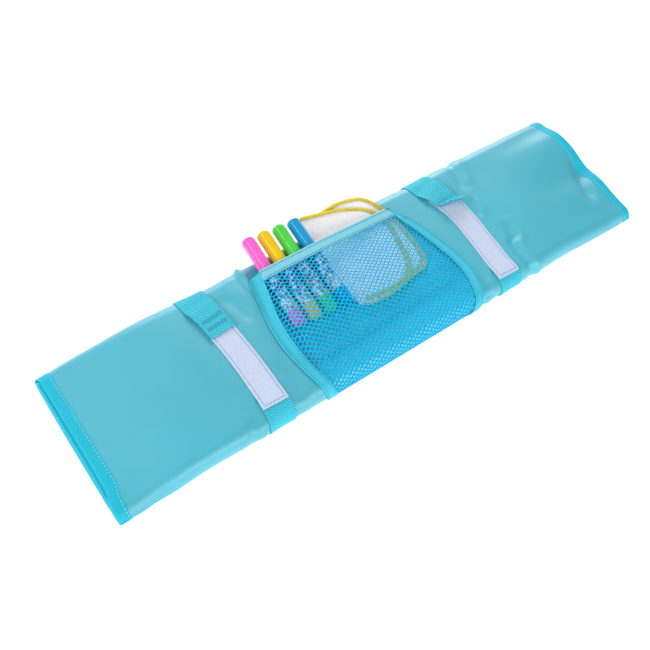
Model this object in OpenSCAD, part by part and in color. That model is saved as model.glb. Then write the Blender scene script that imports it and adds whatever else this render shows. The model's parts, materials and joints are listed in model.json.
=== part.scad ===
// Roll-up padded craft mat, stored as a flattened roll: two hook-and-loop webbing straps hold it shut,
// and a mesh pocket on its outer face carries four felt-tip pens and a folded wiping cloth.
// X runs along the roll, Y points to the pocket's mouth at the back, Z is up.

/* [Mat] */
// Length of the roll, which is one side of the mat
mat_w = 610; // [560:5:700]
// Length of the mat when it is laid flat
mat_len = 914; // [900:1:920]
// Width of the flattened roll
roll_w = 161; // [158:1:165]
// Thickness of the flattened roll without its straps
roll_h = 28; // [27:0.5:32]
// Thickness of the coated outer skin
skin_t = 0.5; // [0.4:0.1:0.6]
// Thickness of the foam padding
pad_t = 1.4; // [1.2:0.1:1.5]
// Clearance between neighbouring turns
turn_gap = 0.6; // [0.4:0.1:0.7]
// Width of the tape that binds the mat's edges
bind_w = 11; // [9:1:13]

/* [Straps] */
// Width of the strap webbing
web_w = 30; // [28:1:38]
// Thickness of the strap webbing
web_t = 1.4; // [1.2:0.1:1.6]
// Width of the hook and loop tapes
tape_w = 25; // [20:1:25]
// Distance from the roll's middle to the left strap
strap_left_x = 148; // [140:1:160]
// Distance from the roll's middle to the right strap
strap_right_x = 129; // [125:1:140]

/* [Pocket] */
// Distance from the roll's middle line back to the pocket's mouth
mouth_y = 58; // [52:1:60]
// Depth of the pocket, measured along its surface
pocket_depth = 155; // [145:1:156]
// Room under the mesh for the pens
pen_lift = 15.6; // [15.6:0.2:17]
// Room under the mesh for the cloth
cloth_lift = 8.6; // [8:0.2:10]

/* [Pens] */
// Length of a pen with its cap on
pen_len = 107; // [104:1:110]
// Diameter of a pen
pen_d = 14; // [13:0.1:14]
// Distance between neighbouring pens
pen_pitch = 17; // [16.6:0.1:17]
// Angle between the pens and the roll's short side
pen_tilt = 5.6; // [4:0.2:6]
// How much further in each pen sits than the one to its left
pen_stagger = 1.2; // [0:0.1:1.3]

/* [Hidden] */
$fn = 48;
lining_t = skin_t;
mat_t = skin_t + pad_t + lining_t;
bind_wall = 0.8;
pitch = mat_t + turn_gap;
bends = 5;
bend_y = (roll_w - roll_h) / 2;
floor_z = web_t;
top_z = floor_z + roll_h;
outer_end_y = -58;

strap_front_end_y = -40;
tape_t = 1.2;
hook_t = 1.1;
body_gap = 0.3;
hinge_y = 64;
loop_front_y = -64;
loop_back_y = 50;
hook_front_y = 34;
hook_back_y = 53;
hook_z = top_z + tape_t + body_gap;
tail_z = hook_z + hook_t;

mesh_gap = 0.2;
mesh_t = 0.6;
trim_t = 1;
trim_w = 11;
pocket_left_x = -94;
pocket_right_x = 76;
pocket_left_bulge = 19.5;
pocket_right_bulge = 27;
pocket_left_span = 190;
pocket_right_span = 160;
lift_end_s = 73;
drop_end_s = 115;
flat_rows = 14;
round_rows = 8;
bottom_rows = 3;
mesh_columns = 20;

pen_names = ["pink", "yellow", "green", "blue"];
pen_colours = ["hotpink", "gold", "limegreen", "deepskyblue"];
pen_count = len(pen_names);
pen_r = pen_d / 2;
pen_tail_y = -10.6;
pen_ref_y = 42;
pen_first_x = -79.5;
pen_gap = 0.4;
pen_z = top_z + pen_gap + pen_r;
pen_round = 2;
plug_len = 14;
spigot_len = 6;
cap_len = 45;
cap_wall = 0.9;
cap_gap = 0.3;
nose_len = 17;
nose_r = pen_r - cap_wall - 0.15;
barrel_wall = 0.8;
reservoir_r = nose_r - barrel_wall - 0.05;
nib_r = 2;
nib_reach = 10;

cloth_left_x = -20.2;
cloth_layer_t = 2.6;
cloth_edge_w = 3;
cloth_z = top_z + body_gap;

// The roll's front-most and back-most points, which set where the middle of the whole part lies.
front_y = -(bend_y + bend_r(1) + mesh_gap + mesh_t + trim_t);
back_y = pen_tail_y + (pen_len - pen_round) * cos(pen_tilt)
    + (pen_r - pen_round) * sin(pen_tilt) + pen_round;
roll_y = -(front_y + back_y) / 2;

PEN_PARTS = ["cap", "barrel", "plug", "reservoir", "nib"];

// ---- General helpers ----

function reversed(list) = [for (i = [len(list) - 1 : -1 : 0]) list[i]];
function unit(v) = v / norm(v);
function clamp01(t) = max(0, min(1, t));
function smooth(t) = let (c = clamp01(t)) c * c * (3 - 2 * c);

// Direction of a polyline at one of its points.
function heading(path, i) = unit(path[min(i + 1, len(path) - 1)] - path[max(i - 1, 0)]);

// A polyline moved to its right by t.
function moved_right(path, t) =
    [for (i = [0 : len(path) - 1]) let (d = heading(path, i)) path[i] + t * [d[1], -d[0]]];

// Points of a circular arc.
function arc(centre, r, from, to, steps = 6) =
    [for (i = [0 : steps]) let (a = from + (to - from) * i / steps) centre + r * [cos(a), sin(a)]];

// A closed smooth curve through the given points.
function smooth_loop(points, steps = 4) =
    [for (i = [0 : len(points) - 1], k = [0 : steps - 1])
        let (n = len(points), t = k / steps,
             a = points[(i + n - 1) % n], b = points[i],
             c = points[(i + 1) % n], d = points[(i + 2) % n])
        0.5 * (2 * b + (c - a) * t + (2 * a - 5 * b + 4 * c - d) * t * t
            + (3 * b - a - 3 * c + d) * t * t * t)];

// A closed loop, wound clockwise, moved inwards by t.
function inset_loop(points, t) =
    [for (i = [0 : len(points) - 1])
        let (n = len(points), d = unit(points[(i + 1) % n] - points[(i + n - 1) % n]))
        points[i] + t * [d[1], -d[0]]];

// A flat profile in the Y-Z plane, extruded along X.
module along_x(x, length) {
    translate([x, 0, 0]) rotate([90, 0, 90]) linear_extrude(length) children();
}

// A strip of constant thickness t to the right of a path.
module strip(path, t) {
    polygon(concat(path, reversed(moved_right(path, t))));
}

// A rectangle between two corners.
module bar(a, b) {
    translate([min(a[0], b[0]), min(a[1], b[1])]) square([abs(b[0] - a[0]), abs(b[1] - a[1])]);
}

// Half of a ring that bulges towards Y times side.
module half_ring(centre, inner_r, outer_r, side) {
    translate(centre) difference() {
        circle(r = outer_r, $fn = 96);
        circle(r = inner_r, $fn = 96);
        bar([0, -outer_r - 1], [-side * (outer_r + 1), outer_r + 1]);
    }
}

// A closed thin shell between two grids of points, each a list of rows.
module shell(lower, upper) {
    rows = len(upper) - 1;
    columns = len(upper[0]) - 1;
    stride = columns + 1;
    under = (rows + 1) * stride;
    rim = concat(
        [for (j = [0 : columns - 1]) j],
        [for (i = [0 : rows - 1]) i * stride + columns],
        [for (j = [columns : -1 : 1]) rows * stride + j],
        [for (i = [rows : -1 : 1]) i * stride]);
    faces = concat(
        [for (i = [0 : rows - 1], j = [0 : columns - 1]) let (a = i * stride + j)
            each [[a, a + 1, a + stride + 1], [a, a + stride + 1, a + stride]]],
        [for (i = [0 : rows - 1], j = [0 : columns - 1]) let (a = under + i * stride + j)
            each [[a, a + stride + 1, a + 1], [a, a + stride, a + stride + 1]]],
        [for (k = [0 : len(rim) - 1]) let (a = rim[k], b = rim[(k + 1) % len(rim)])
            each [[a, under + a, under + b], [a, under + b, b]]]);
    polyhedron([for (grid = [upper, lower], row = grid) each row], faces, convexity = 6);
}

// ---- Mat ----

function bend_r(k) = roll_h / 2 - k * pitch / 2;
function bend_side(k) = k % 2 == 0 ? 1 : -1;
function bend_centre(k) = [bend_side(k) * bend_y, floor_z + roll_h / 2 + (k % 2) * pitch / 2];
function bend_length(k) = PI * (bend_r(k) - mat_t / 2);
function total_bend_length(k) = k < 0 ? 0 : bend_length(k) + total_bend_length(k - 1);

last_bend = bends - 1;
last_flat = mat_len - (bend_y - outer_end_y) - total_bend_length(last_bend) - last_bend * 2 * bend_y;
inner_end_y = bend_side(last_bend) * (bend_y - last_flat);
inner_end_z = bend_centre(last_bend)[1] + bend_side(last_bend) * bend_r(last_bend);

// The coiled mat between two depths below its outer face, with its two free edges cut back by trim.
module mat_profile(from, to, trim) {
    bar([outer_end_y + trim, floor_z + from], [bend_y, floor_z + to]);
    for (k = [0 : last_bend]) {
        side = bend_side(k);
        face_z = bend_centre(k)[1] + side * bend_r(k);
        far_y = k < last_bend ? -side * bend_y : inner_end_y + side * trim;
        half_ring(bend_centre(k), bend_r(k) - to, bend_r(k) - from, side);
        bar([side * bend_y, face_z - side * from], [far_y, face_z - side * to]);
    }
}

module mat_layer(from, to, cut, trim) {
    along_x(cut - mat_w / 2, mat_w - 2 * cut) mat_profile(from, to, trim);
}

module mat_skin() {
    color("mediumturquoise") mat_layer(0, skin_t, bind_w, bind_w);
}

module mat_padding() {
    color("white") mat_layer(skin_t, skin_t + pad_t, bind_wall, bind_wall);
}

module mat_lining() {
    color("deepskyblue") mat_layer(skin_t + pad_t, mat_t, bind_w, bind_w);
}

// The tape folded over one side edge of the mat, from x_edge inwards; side is 1 when inwards is +X.
module side_binding(x_edge, side) {
    wall_x = x_edge + side * bind_wall;
    inner_x = x_edge + side * bind_w;
    color("turquoise") {
        along_x(min(x_edge, wall_x), bind_wall) mat_profile(0, mat_t, 0);
        along_x(min(wall_x, inner_x), bind_w - bind_wall) {
            mat_profile(0, skin_t, 0);
            mat_profile(skin_t + pad_t, mat_t, 0);
            end_walls();
        }
    }
}

// The parts of a side binding that close the padding in at the mat's two free edges.
module end_walls() {
    bar([outer_end_y, floor_z], [outer_end_y + bind_wall, floor_z + mat_t]);
    bar([inner_end_y, inner_end_z], [inner_end_y + bind_wall, inner_end_z - mat_t]);
}

// The tape folded over a free edge of the mat, from its corner at y and z; the mat runs on towards +Y.
module free_binding(y, z) {
    color("turquoise") along_x(bind_w - mat_w / 2, mat_w - 2 * bind_w) difference() {
        translate([y, z]) square([bind_w, mat_t]);
        translate([y + bind_wall, z + skin_t]) square([bind_w, pad_t]);
    }
}

module binding_left() {
    side_binding(-mat_w / 2, 1);
}

module binding_right() {
    side_binding(mat_w / 2, -1);
}

module binding_outer_end() {
    free_binding(outer_end_y, floor_z);
}

module binding_inner_end() {
    free_binding(inner_end_y, inner_end_z - mat_t);
}

// ---- Straps ----

// The webbing runs from under the loop tape, round the front, beneath and up the back to the tail's hinge.
module webbing_profile() {
    front_low_z = bend_centre(1)[1] - bend_r(1);
    bar([strap_front_end_y, top_z], [-bend_y, top_z + web_t]);
    half_ring(bend_centre(1), bend_r(1), bend_r(1) + web_t, -1);
    polygon([[-bend_y, front_low_z], [-bend_y, front_low_z - web_t], [outer_end_y, 0], [outer_end_y, floor_z]]);
    bar([outer_end_y, 0], [bend_y, web_t]);
    half_ring(bend_centre(0), bend_r(0), bend_r(0) + web_t, 1);
    bar([bend_y, top_z], [hinge_y + 2 * body_gap, top_z + web_t]);
}

module on_strap(x, width) {
    along_x(x - width / 2, width) children();
}

// The loop tape lies on the webbing at the front and on the mat behind the webbing's end.
loop_path = [
    [loop_back_y, top_z],
    [strap_front_end_y + 6, top_z],
    [strap_front_end_y, top_z + web_t],
    [loop_front_y, top_z + web_t]];

tail_root = [[hinge_y, top_z], [hook_back_y + 1, tail_z]];
flat_tail = concat(tail_root, [[hook_front_y - 3, tail_z], [24, tail_z - 0.9]]);
curl_r = 9;
curled_tail = concat(tail_root, arc([hook_front_y, tail_z + curl_r], curl_r, 270, 210));

module strap_webbing(x) {
    color("turquoise") on_strap(x, web_w) webbing_profile();
}

module loop_tape(x) {
    color("lavender") on_strap(x, tape_w) strip(loop_path, tape_t);
}

module hook_tape(x) {
    color("white") on_strap(x, tape_w) bar([hook_front_y, hook_z], [hook_back_y, hook_z + hook_t]);
}

module strap_tail(path, x) {
    color("turquoise") on_strap(x, web_w) strip(path, web_t);
}

// ---- Pocket ----

pocket_flat = mouth_y + bend_y;

// Where the pocket's rows of points lie along its surface: close together round the front bend.
pocket_rows = concat(
    [for (i = [0 : flat_rows - 1]) pocket_flat * i / flat_rows],
    [for (i = [0 : round_rows]) pocket_flat + (pocket_depth - pocket_flat) * i / round_rows]);
bottom_trim_rows = [for (i = [0 : bottom_rows]) pocket_rows[flat_rows + round_rows - bottom_rows + i]];
mouth_trim_rows = [0, trim_w / 2, trim_w];

// A place on the roll's outer face, s along the surface from the mouth towards the front and underneath.
function face_angle(s) = 90 + (s - pocket_flat) / bend_r(1) * 180 / PI;
function face_normal(s) = s < pocket_flat ? [0, 1] : [cos(face_angle(s)), sin(face_angle(s))];
function face_point(s) = s < pocket_flat ? [mouth_y - s, top_z] : bend_centre(1) + bend_r(1) * face_normal(s);

function pocket_left(s) = pocket_left_x - pocket_left_bulge * sin(180 * s / pocket_left_span);
function pocket_right(s) = pocket_right_x + pocket_right_bulge * sin(180 * s / pocket_right_span);

// How far the mesh stands off the mat: highest over the pens, lower over the cloth, flat at its seams.
function pocket_lift(s, x) =
    let (u = x - tan(pen_tilt) * (mouth_y - s - pen_ref_y),
         lift = pen_lift + (cloth_lift - pen_lift) * smooth((u + 19) / 16),
         left = smooth((x - pocket_left(s) - 2) / 7),
         right = smooth((pocket_right(s) - x - 2) / 8),
         along = 1 - smooth((s - lift_end_s) / (drop_end_s - lift_end_s)))
    lift * left * right * along;

function pocket_point(s, x, offset) =
    let (p = face_point(s) + (pocket_lift(s, x) + offset) * face_normal(s)) [x, p[0], p[1]];

// Rows of points over part of the pocket; left and right are functions of s.
function pocket_grid(rows, columns, left, right, offset) =
    [for (s = rows)
        [for (j = [0 : columns])
            pocket_point(s, left(s) + (right(s) - left(s)) * (1 - cos(180 * j / columns)) / 2, offset)]];

module pocket_shell(rows, columns, left, right, offset, t) {
    shell(pocket_grid(rows, columns, left, right, offset),
        pocket_grid(rows, columns, left, right, offset + t));
}

left_edge = function (s) pocket_left(s);
left_inner = function (s) pocket_left(s) + trim_w;
right_inner = function (s) pocket_right(s) - trim_w;
right_edge = function (s) pocket_right(s);

module pocket_mesh() {
    color("deepskyblue")
        pocket_shell(pocket_rows, mesh_columns, left_edge, right_edge, mesh_gap, mesh_t);
}

module pocket_trim(rows, columns, left, right) {
    color("turquoise") pocket_shell(rows, columns, left, right, mesh_gap + mesh_t, trim_t);
}

module pocket_trim_left() {
    pocket_trim(pocket_rows, 6, left_edge, left_inner);
}

module pocket_trim_right() {
    pocket_trim(pocket_rows, 6, right_inner, right_edge);
}

module pocket_trim_mouth() {
    pocket_trim(mouth_trim_rows, mesh_columns, left_inner, right_inner);
}

module pocket_trim_bottom() {
    pocket_trim(bottom_trim_rows, mesh_columns, left_inner, right_inner);
}

// ---- Pens ----

// Moves a pen, built up along Z from its tail, to its place beside the first one.
module in_pocket(index) {
    y = pen_tail_y - index * pen_stagger;
    x = pen_first_x + index * pen_pitch + tan(pen_tilt) * (y - pen_ref_y);
    translate([x, y, pen_z]) rotate([-90, 0, -pen_tilt]) children();
}

// A turned shape from a list of [radius, height] points.
module turned(profile) {
    rotate_extrude() polygon(profile);
}

function round_corner(r, z, from, to) = arc([r - pen_round, z], pen_round, from, to, 6);

module pen_cap(colour) {
    z1 = pen_len - cap_len + cap_gap;
    color(colour) turned(concat(
        [[pen_r - cap_wall, z1], [pen_r, z1]],
        round_corner(pen_r, pen_len - pen_round, 0, 90),
        [[0, pen_len], [0, pen_len - 3], [pen_r - cap_wall - 1, pen_len - 3],
         [pen_r - cap_wall, pen_len - 5]]));
}

module pen_barrel() {
    shoulder = pen_len - cap_len;
    color("white") turned([
        [pen_r - barrel_wall, plug_len], [pen_r, plug_len], [pen_r, shoulder], [nose_r, shoulder],
        [nose_r, shoulder + nose_len - 4], [nib_r + 1.2, shoulder + nose_len],
        [nib_r, shoulder + nose_len], [nib_r, shoulder + nose_len - 5],
        [nose_r - barrel_wall, shoulder + nose_len - 6], [nose_r - barrel_wall, shoulder - 2],
        [pen_r - barrel_wall, shoulder - 3]]);
}

module pen_plug(colour) {
    spigot_r = pen_r - barrel_wall;
    color(colour) turned(concat(
        [[0, 0]],
        reversed(arc([pen_r - pen_round, pen_round], pen_round, 360, 270, 6)),
        [[pen_r, plug_len], [spigot_r, plug_len], [spigot_r, plug_len + spigot_len],
         [0, plug_len + spigot_len]]));
}

module pen_reservoir() {
    color("ivory") translate([0, 0, plug_len + spigot_len])
        cylinder(r = reservoir_r, h = pen_len - cap_len + nose_len - 6 - plug_len - spigot_len);
}

module pen_nib(colour) {
    base = pen_len - cap_len + nose_len - 6;
    color(colour) turned([
        [0, base], [nib_r - 0.05, base], [nib_r - 0.05, base + 6 + nib_reach - 4],
        [0.8, base + 6 + nib_reach], [0, base + 6 + nib_reach + 0.5]]);
}

// ---- Cloth ----

function cloth_side_x(y) = cloth_left_x + tan(pen_tilt) * (y - pen_ref_y);

// Outlines of the folded cloth's two layers, wound clockwise from the corner beside the last pen.
cloth_side = [for (y = [-4, 24, 52, 80]) [cloth_side_x(y), y]];
lower_outline = concat(cloth_side,
    [[-12, 89], [8, 91.5], [31, 93], [49, 89], [61, 77], [66, 57], [64, 32], [60, 8], [56, -10],
     [47, -22], [26, -27], [0, -28], [-20, -22]]);
upper_outline = concat(cloth_side,
    [[-14, 92], [9, 89], [34, 80], [49, 70], [58, 54], [59, 30], [54, 8], [46, -8],
     [35, -18], [16, -24], [-6, -26], [-20, -20]]);

// One folded layer of the cloth, between two distances in from its outline.
module cloth_layer(outline, level, from, to) {
    loop = smooth_loop(outline);
    translate([0, 0, cloth_z + level * cloth_layer_t]) linear_extrude(cloth_layer_t) difference() {
        polygon(inset_loop(loop, from));
        if (to > from) polygon(inset_loop(loop, to));
    }
}

module cloth_towelling() {
    color("white") {
        cloth_layer(lower_outline, 0, cloth_edge_w, 0);
        cloth_layer(upper_outline, 1, cloth_edge_w, 0);
    }
}

module cloth_edging() {
    color("gold") {
        cloth_layer(lower_outline, 0, 0, cloth_edge_w);
        cloth_layer(upper_outline, 1, 0, cloth_edge_w);
    }
}

// ---- Nodes ----

module placed() {
    translate([0, roll_y, 0]) children();
}

placed() mat_skin();
placed() mat_padding();
placed() mat_lining();
placed() binding_left();
placed() binding_right();
placed() binding_outer_end();
placed() binding_inner_end();
placed() strap_webbing(-strap_left_x);  // strap_left_webbing
placed() loop_tape(-strap_left_x);  // strap_left_loop_tape
placed() strap_tail(flat_tail, -strap_left_x);  // strap_left_tail
placed() hook_tape(-strap_left_x);  // strap_left_hook_tape
placed() strap_webbing(strap_right_x);  // strap_right_webbing
placed() loop_tape(strap_right_x);  // strap_right_loop_tape
placed() strap_tail(curled_tail, strap_right_x);  // strap_right_tail
placed() hook_tape(strap_right_x);  // strap_right_hook_tape
placed() pocket_mesh();
placed() pocket_trim_mouth();
placed() pocket_trim_left();
placed() pocket_trim_right();
placed() pocket_trim_bottom();
placed() cloth_towelling();
placed() cloth_edging();
for (i = [0 : pen_count - 1]) {
    pen = str("pen_", pen_names[i], "_");
    placed() in_pocket(i) pen_cap(pen_colours[i]);
    placed() in_pocket(i) pen_barrel();
    placed() in_pocket(i) pen_plug(pen_colours[i]);
    placed() in_pocket(i) pen_reservoir();
    placed() in_pocket(i) pen_nib(pen_colours[i]);
}
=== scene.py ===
"""A padded craft mat, rolled flat and strapped, with pens and a wiping cloth in a mesh pocket on top.

Shapes are made in millimetres in the roll's own coordinates: x along the roll, y towards the pocket's
mouth and z up, with y = 0 at the roll's middle. The warp then dents and creases all of them together.
"""
import json
import math

import bpy
import numpy as np
from mathutils import Matrix, Vector


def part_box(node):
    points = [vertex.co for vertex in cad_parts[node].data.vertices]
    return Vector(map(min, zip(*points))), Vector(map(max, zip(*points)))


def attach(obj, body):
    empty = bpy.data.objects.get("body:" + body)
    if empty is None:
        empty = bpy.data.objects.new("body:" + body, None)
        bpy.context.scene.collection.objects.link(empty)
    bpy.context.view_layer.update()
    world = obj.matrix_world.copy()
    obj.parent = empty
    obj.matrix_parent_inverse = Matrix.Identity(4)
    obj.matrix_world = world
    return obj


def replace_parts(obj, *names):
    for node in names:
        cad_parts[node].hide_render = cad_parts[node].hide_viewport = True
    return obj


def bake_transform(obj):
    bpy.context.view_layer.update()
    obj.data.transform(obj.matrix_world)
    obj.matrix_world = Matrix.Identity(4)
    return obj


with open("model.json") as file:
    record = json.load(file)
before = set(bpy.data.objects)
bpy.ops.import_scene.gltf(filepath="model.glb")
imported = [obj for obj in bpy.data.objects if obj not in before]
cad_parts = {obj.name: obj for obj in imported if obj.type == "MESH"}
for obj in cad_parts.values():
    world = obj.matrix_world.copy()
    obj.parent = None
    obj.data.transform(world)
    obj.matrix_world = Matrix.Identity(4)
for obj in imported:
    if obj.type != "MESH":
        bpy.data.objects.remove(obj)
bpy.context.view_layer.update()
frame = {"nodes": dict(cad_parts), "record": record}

# ---- Sizes, read from the frame where it has them ----

MM = 0.001


def cad_box(node):
    """A CAD node's lowest and highest corners, in millimetres."""
    low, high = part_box(node)
    return np.array(low) / MM, np.array(high) / MM


skin_low, skin_high = cad_box("mat_skin")
PITCH = 3.0
MAT_T = 2.4
FLOOR = skin_low[2]
TOP = skin_high[2]
BACK_R = (TOP - FLOOR) / 2
FRONT_R = BACK_R - PITCH / 2
BEND_Y = (skin_high[1] - skin_low[1] - BACK_R - FRONT_R) / 2
ROLL_Y = skin_high[1] - BEND_Y - BACK_R
BACK_Z = FLOOR + BACK_R
FRONT_Z = BACK_Z + PITCH / 2
HALF_X = cad_box("binding_right")[1][0]
OUTER_END_Y = cad_box("binding_outer_end")[0][1] - ROLL_Y
INNER_END_Y = cad_box("binding_inner_end")[0][1] - ROLL_Y
MOUTH_Y = cad_box("pocket_trim_mouth")[1][1] - ROLL_Y
pen_axis = next(j["axis"] for j in frame["record"]["behaviour"]["joints"] if j["name"] == "pen_pink_slide")
PEN_TILT = math.atan2(pen_axis[0], pen_axis[1])
TAPE_W = 11.0
TAPE_T = 0.42
WEB_T = 1.4
LOOP_W = 25.4


# ---- Curves and steps ----


def smooth(t):
    t = np.clip(t, 0, 1)
    return t * t * (3 - 2 * t)


def through(points, at):
    """A smooth curve through (position, value) points, read at some positions."""
    points = np.array(sorted(points), float)
    p, v = points[:, 0], points[:, 1]
    slope = np.gradient(v, p)
    at = np.clip(at, p[0], p[-1])
    i = np.clip(np.searchsorted(p, at) - 1, 0, len(p) - 2)
    h = p[i + 1] - p[i]
    t = (at - p[i]) / h
    return (
        (1 + 2 * t) * (1 - t) ** 2 * v[i]
        + t * (1 - t) ** 2 * h * slope[i]
        + t * t * (3 - 2 * t) * v[i + 1]
        + t * t * (t - 1) * h * slope[i + 1]
    )


def from_line(x, y, points):
    """Each place's signed distance from a polyline, and how far along it that is from 0 to 1."""
    points = np.array(points, float)
    steps = np.linalg.norm(np.diff(points, axis=0), axis=1)
    starts = np.r_[0, np.cumsum(steps)]
    best = np.full(np.shape(x), 1e9)
    along = np.zeros(np.shape(x))
    for a, b, start, step in zip(points[:-1], points[1:], starts, steps):
        d = (b - a) / step
        q = np.clip((x - a[0]) * d[0] + (y - a[1]) * d[1], 0, step)
        ox, oy = x - a[0] - q * d[0], y - a[1] - q * d[1]
        dist = np.hypot(ox, oy)
        side = np.where(d[0] * oy - d[1] * ox < 0, -1.0, 1.0)
        near = dist < np.abs(best)
        best = np.where(near, dist * side, best)
        along = np.where(near, (start + q) / starts[-1], along)
    return best, along


# ---- How the soft roll is dented ----

# How far the roll's right end stands above (+) or below (-) its even height, from the front to the back.
RIGHT_END = [(-80, -8.5), (-61, -8.5), (-47, -6.4), (-29, -3.6), (-9, -4.6), (6, -0.6), (24, 4.2),
             (44, 5.2), (62, 0.0), (80, -1.0)]
# The same at the left end.
LEFT_END = [(-80, -9.0), (-40, -7.5), (0, -6.0), (40, -6.5), (80, -7.5)]

# Creases as (width, depth, ridge beside it, points of (x, distance round the outside from the middle)).
CREASES = [
    (3.4, 1.8, 1.1, [(157, 28), (156, 18), (154, 8), (152, -2)]),
    (4.2, 3.4, 1.7, [(156, -14), (166, -24), (164, -36), (157, -42), (154, -56), (154, -74), (157, -93),
                     (158, -112)]),
    (7.5, 5.6, 0.5, [(298, 16), (293, -2), (285, -17), (279, -33), (272, -52)]),
    (4.0, 1.8, 0.9, [(102, -54), (97, -70), (89, -88), (85, -106)]),
    (5.0, 1.8, 1.2, [(-166, -62), (-176, -74), (-180, -96)]),
    (14.0, 1.4, 0.6, [(-292, -52), (-276, -72), (-262, -96)]),
    (5.0, 1.7, 1.3, [(172, 96), (170, 76), (168, 62), (163, 44), (168, 30)]),
    (6.0, 1.5, 1.0, [(-128, 62), (-120, 40), (-117, 16)]),
    (6.0, 1.5, 1.0, [(-125, -26), (-121, -50), (-126, -80)]),
    (2.6, -4.2, 0.0, [(-98, 44), (-98, 60), (-98, 74), (-99, 90)]),
]
STRAPS_X = (-148.0, 129.0)


def end_shift(x, y):
    """How far the top is raised at a place, most at the roll's two ends."""
    right = smooth((x - 205) / (HALF_X - 205)) * through(RIGHT_END, y)
    left = smooth((-222 - x) / (HALF_X - 222)) * through(LEFT_END, y)
    return right + left


def swell(x, v):
    """Slow waves of the padded skin. Under the pocket there are none, and it lies a little lower."""
    waves = (
        0.55 * np.sin(x / 31 + v / 47 + 0.6)
        + 0.40 * np.sin(x / 17 - v / 29 + 2.1)
        + 0.25 * np.sin(x / 11 + v / 19 + 4.0)
    )
    under_pocket = smooth((118 - np.abs(x + 8)) / 14)
    return waves * (1 - under_pocket) - 0.35 * under_pocket


def dent(x, v):
    """How far the outer face moves outwards at a place: waves, creases and the straps' pinch."""
    total = swell(x, v)
    for width, depth, ridge, points in CREASES:
        d, along = from_line(x, v, points)
        fade = smooth(along / 0.3) * smooth((1 - along) / 0.3)
        total -= depth * fade * np.exp(-((d / width) ** 2))
        total += ridge * fade * np.exp(-(((d - 1.9 * width) / (1.2 * width)) ** 2))
    for strap_x in STRAPS_X:
        total -= 1.3 * np.exp(-(((x - strap_x) / 20) ** 2))
    return total


def warp(points):
    """Moves points of the even roll to where they lie in the dented one."""
    x, y, z = points[..., 0], points[..., 1], points[..., 2]
    in_front = y < -BEND_Y
    dy = np.where(in_front, y + BEND_Y, np.maximum(y - BEND_Y, 0))
    dz = z - np.where(in_front, FRONT_Z, BACK_Z)
    r = np.maximum(np.hypot(dy, dz), 1e-6)
    turn = np.arctan2(np.abs(dy), dz)
    v = np.where(in_front, -BEND_Y - FRONT_R * turn, np.where(y > BEND_Y, BEND_Y + BACK_R * turn, y))
    out = dent(x, v) * (1 - smooth((turn - 1.5) / 1.3)) * np.clip(r / 5, 0, 1)
    lift = end_shift(x, y) * np.clip((z - 9.8) / 11.2, 0, 1)
    return np.stack([x, y + out * dy / r, z + out * dz / r + lift], axis=-1)


# ---- Places on the even roll ----

FRONT_TURN_END = BEND_Y + math.pi * FRONT_R
STEP_DOWN = 8.5


def on_roll(x, v, h):
    """The place x along the roll, v round its outside and h above its face.

    v is 0 at the top's middle. It grows towards the back and down its bend, and falls towards the front,
    round that bend, along beneath the mat's free end and up the back bend from below.
    """
    x, v, h = np.broadcast_arrays(np.asarray(x, float), v, h)
    below = np.maximum(-v - FRONT_TURN_END, 0)
    climb = np.maximum(below - 2 * BEND_Y, 0)
    front = np.clip((-BEND_Y - v) / FRONT_R, 0, math.pi)
    back = np.where(climb > 0, math.pi - climb / BACK_R, np.clip((v - BEND_Y) / BACK_R, 0, math.pi))
    drop = (FRONT_Z - FRONT_R - FLOOR) * smooth(below / STEP_DOWN)
    at_back = (v > BEND_Y) | (climb > 0)
    y = np.where(below > 0, np.minimum(below, 2 * BEND_Y) - BEND_Y, np.clip(v, -BEND_Y, BEND_Y))
    z = np.where(below > 0, FRONT_Z - FRONT_R - drop - h, TOP + h)
    in_front = (v < -BEND_Y) & (below == 0)
    y = np.where(in_front, -BEND_Y - (FRONT_R + h) * np.sin(front), y)
    z = np.where(in_front, FRONT_Z + (FRONT_R + h) * np.cos(front), z)
    y = np.where(at_back, BEND_Y + (BACK_R + h) * np.sin(back), y)
    z = np.where(at_back, BACK_Z + (BACK_R + h) * np.cos(back), z)
    return np.stack([x, y, z], axis=-1)


def coil():
    """The rolled sheet's middle surface, as rows of y, z, the outward normal's y and z, and the length."""
    rows = []
    length = 0.0

    def flat(y_from, y_to, face_z, up, step):
        nonlocal length
        count = max(2, int(abs(y_to - y_from) / step) + 1)
        for y in np.linspace(y_from, y_to, count)[:-1]:
            rows.append((y, face_z - up * MAT_T / 2, 0.0, up, length + abs(y - y_from)))
        length += abs(y_to - y_from)

    def bend(centre_z, r, side, step):
        nonlocal length
        middle_r = r - MAT_T / 2
        for a in np.linspace(0, math.pi, max(9, int(math.pi * r / step) + 1))[:-1]:
            up = -side * math.cos(a)
            rows.append((side * (BEND_Y + middle_r * math.sin(a)), centre_z + middle_r * up,
                         side * math.sin(a), up, length + middle_r * a))
        length += math.pi * middle_r

    flat(OUTER_END_Y, BEND_Y, FLOOR, -1.0, 5)
    for k in range(5):
        side = 1.0 if k % 2 == 0 else -1.0
        centre_z = BACK_Z if k % 2 == 0 else FRONT_Z
        r = BACK_R - k * PITCH / 2
        step = 1.7 if k < 2 else 3.0
        bend(centre_z, r, side, step)
        far_y = -side * BEND_Y if k < 4 else INNER_END_Y
        flat(side * BEND_Y, far_y, centre_z + side * r, side, 2.5 if k == 0 else 6)
    rows.append((INNER_END_Y, BACK_Z + BACK_R - 2 * PITCH - MAT_T / 2, 0.0, 1.0, length))
    return np.array(rows)


# ---- Meshes ----


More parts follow.
